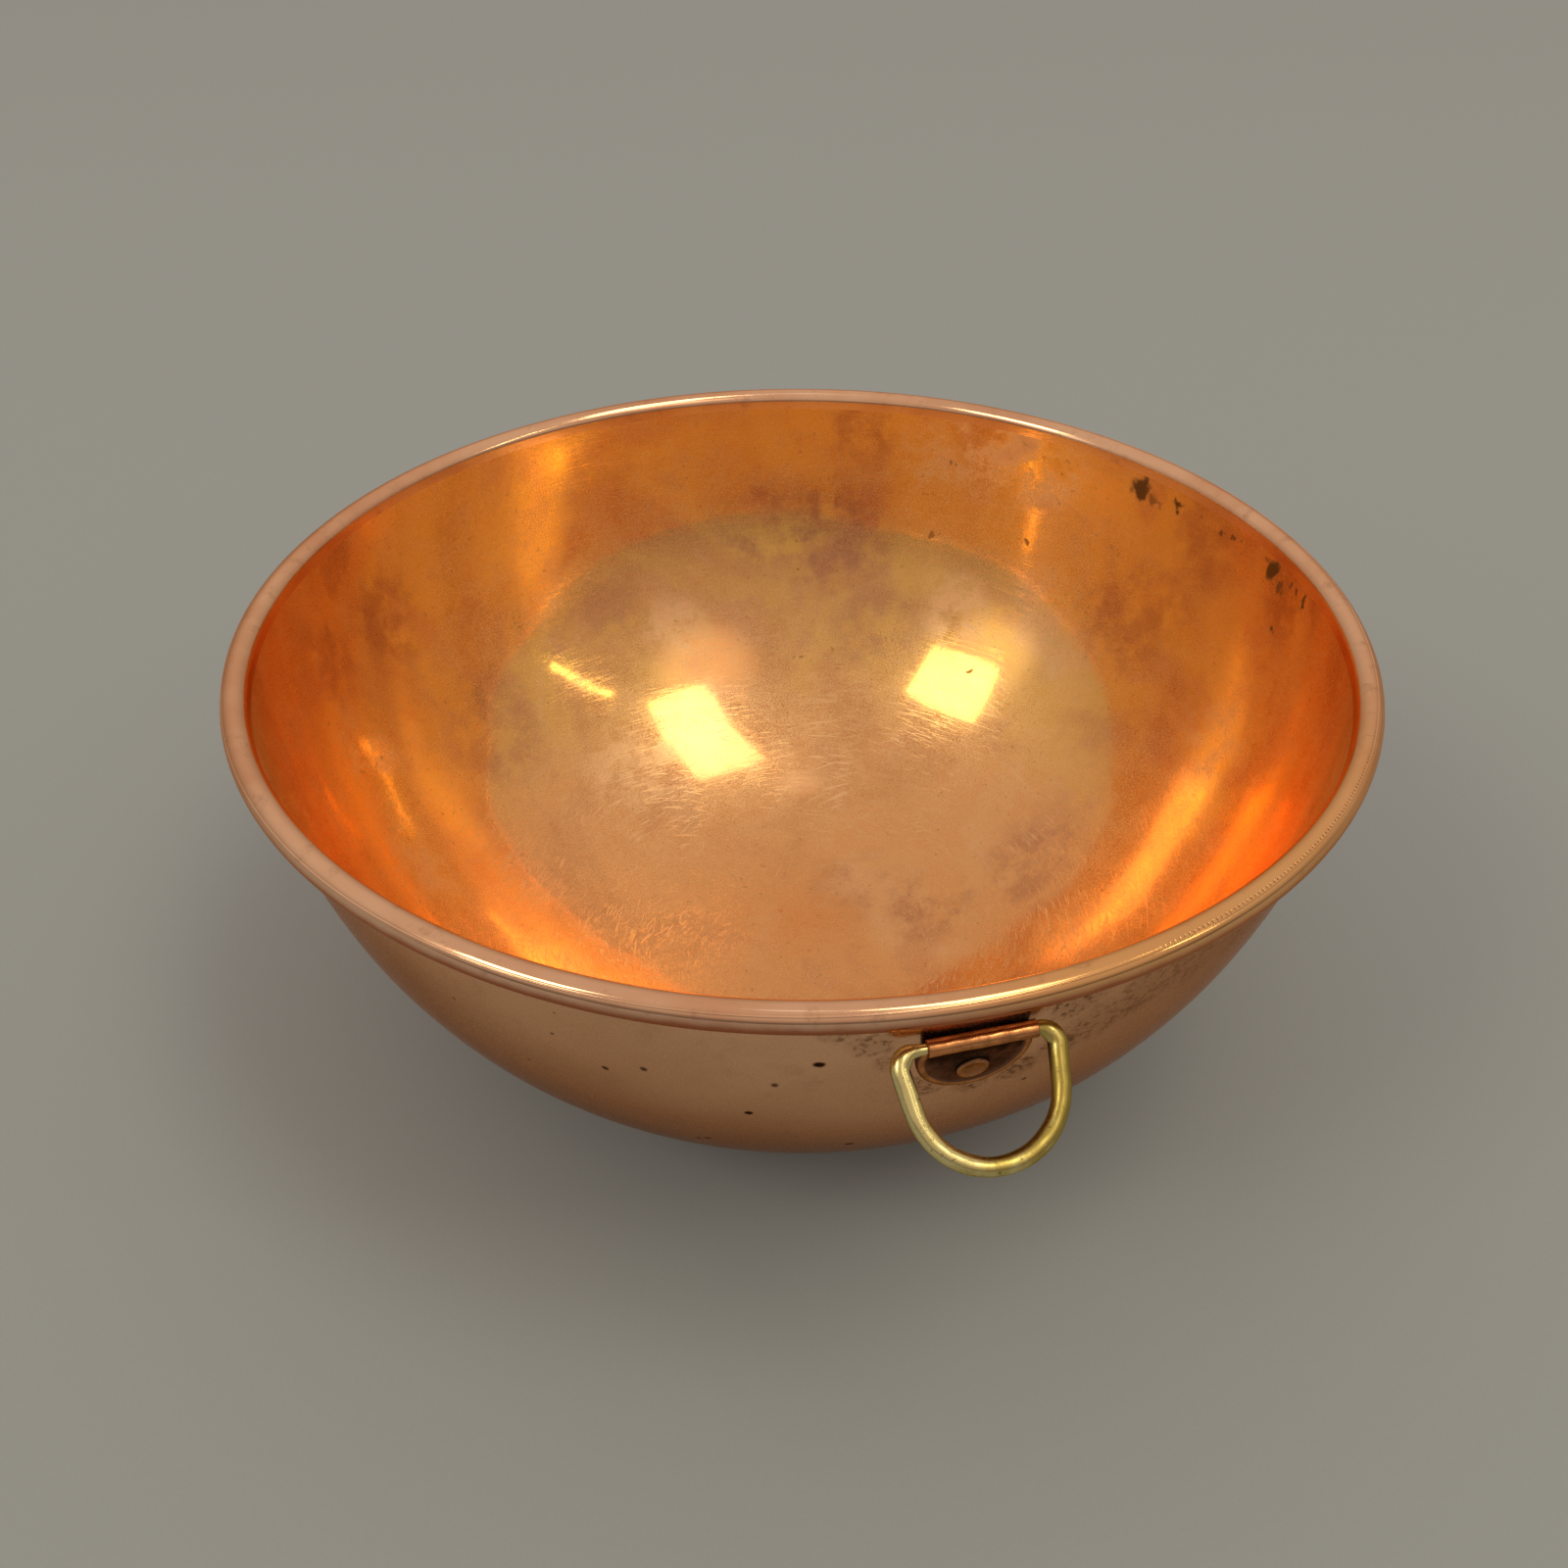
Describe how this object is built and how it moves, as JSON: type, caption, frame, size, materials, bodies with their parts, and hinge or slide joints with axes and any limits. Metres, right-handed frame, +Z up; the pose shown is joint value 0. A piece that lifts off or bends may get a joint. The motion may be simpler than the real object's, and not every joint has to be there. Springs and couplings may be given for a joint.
{
  "type": "copper beating bowl",
  "caption": "Round-bottomed spun copper bowl with a wired, rolled rim and a brass hanging ring that swings in a riveted lug.",
  "frame": {"origin": "centre of the flat base, on the surface that the bowl stands on", "axes": "+Z up along the bowl's axis, -Y towards the lug and its ring, +X to the right as seen from the ring's side"},
  "size_m": [0.3, 0.3159, 0.1281],
  "materials": {
    "copper_bowl": "spun and polished copper, dulled outside",
    "steel_wire": "plain drawn wire",
    "copper_lug": "worn copper, tarnished in its hollows",
    "copper_rivet": "hammered copper",
    "brass": "worn cast brass with an olive tone"
  },
  "bodies": {
    "bowl_body": {"bowl": "copper_bowl", "rim_wire": "steel_wire", "ring_lug": "copper_lug", "rivet": "copper_rivet"},
    "ring_body": {"brass_ring": "brass"}
  },
  "joints": [
    {"name": "ring_swing", "type": "hinge", "parent": "bowl_body", "child": "ring_body", "pos_m": [0, -0.14473, 0.1123], "axis": [-1, 0, 0], "range_deg": [-62, 96]}
  ]
}
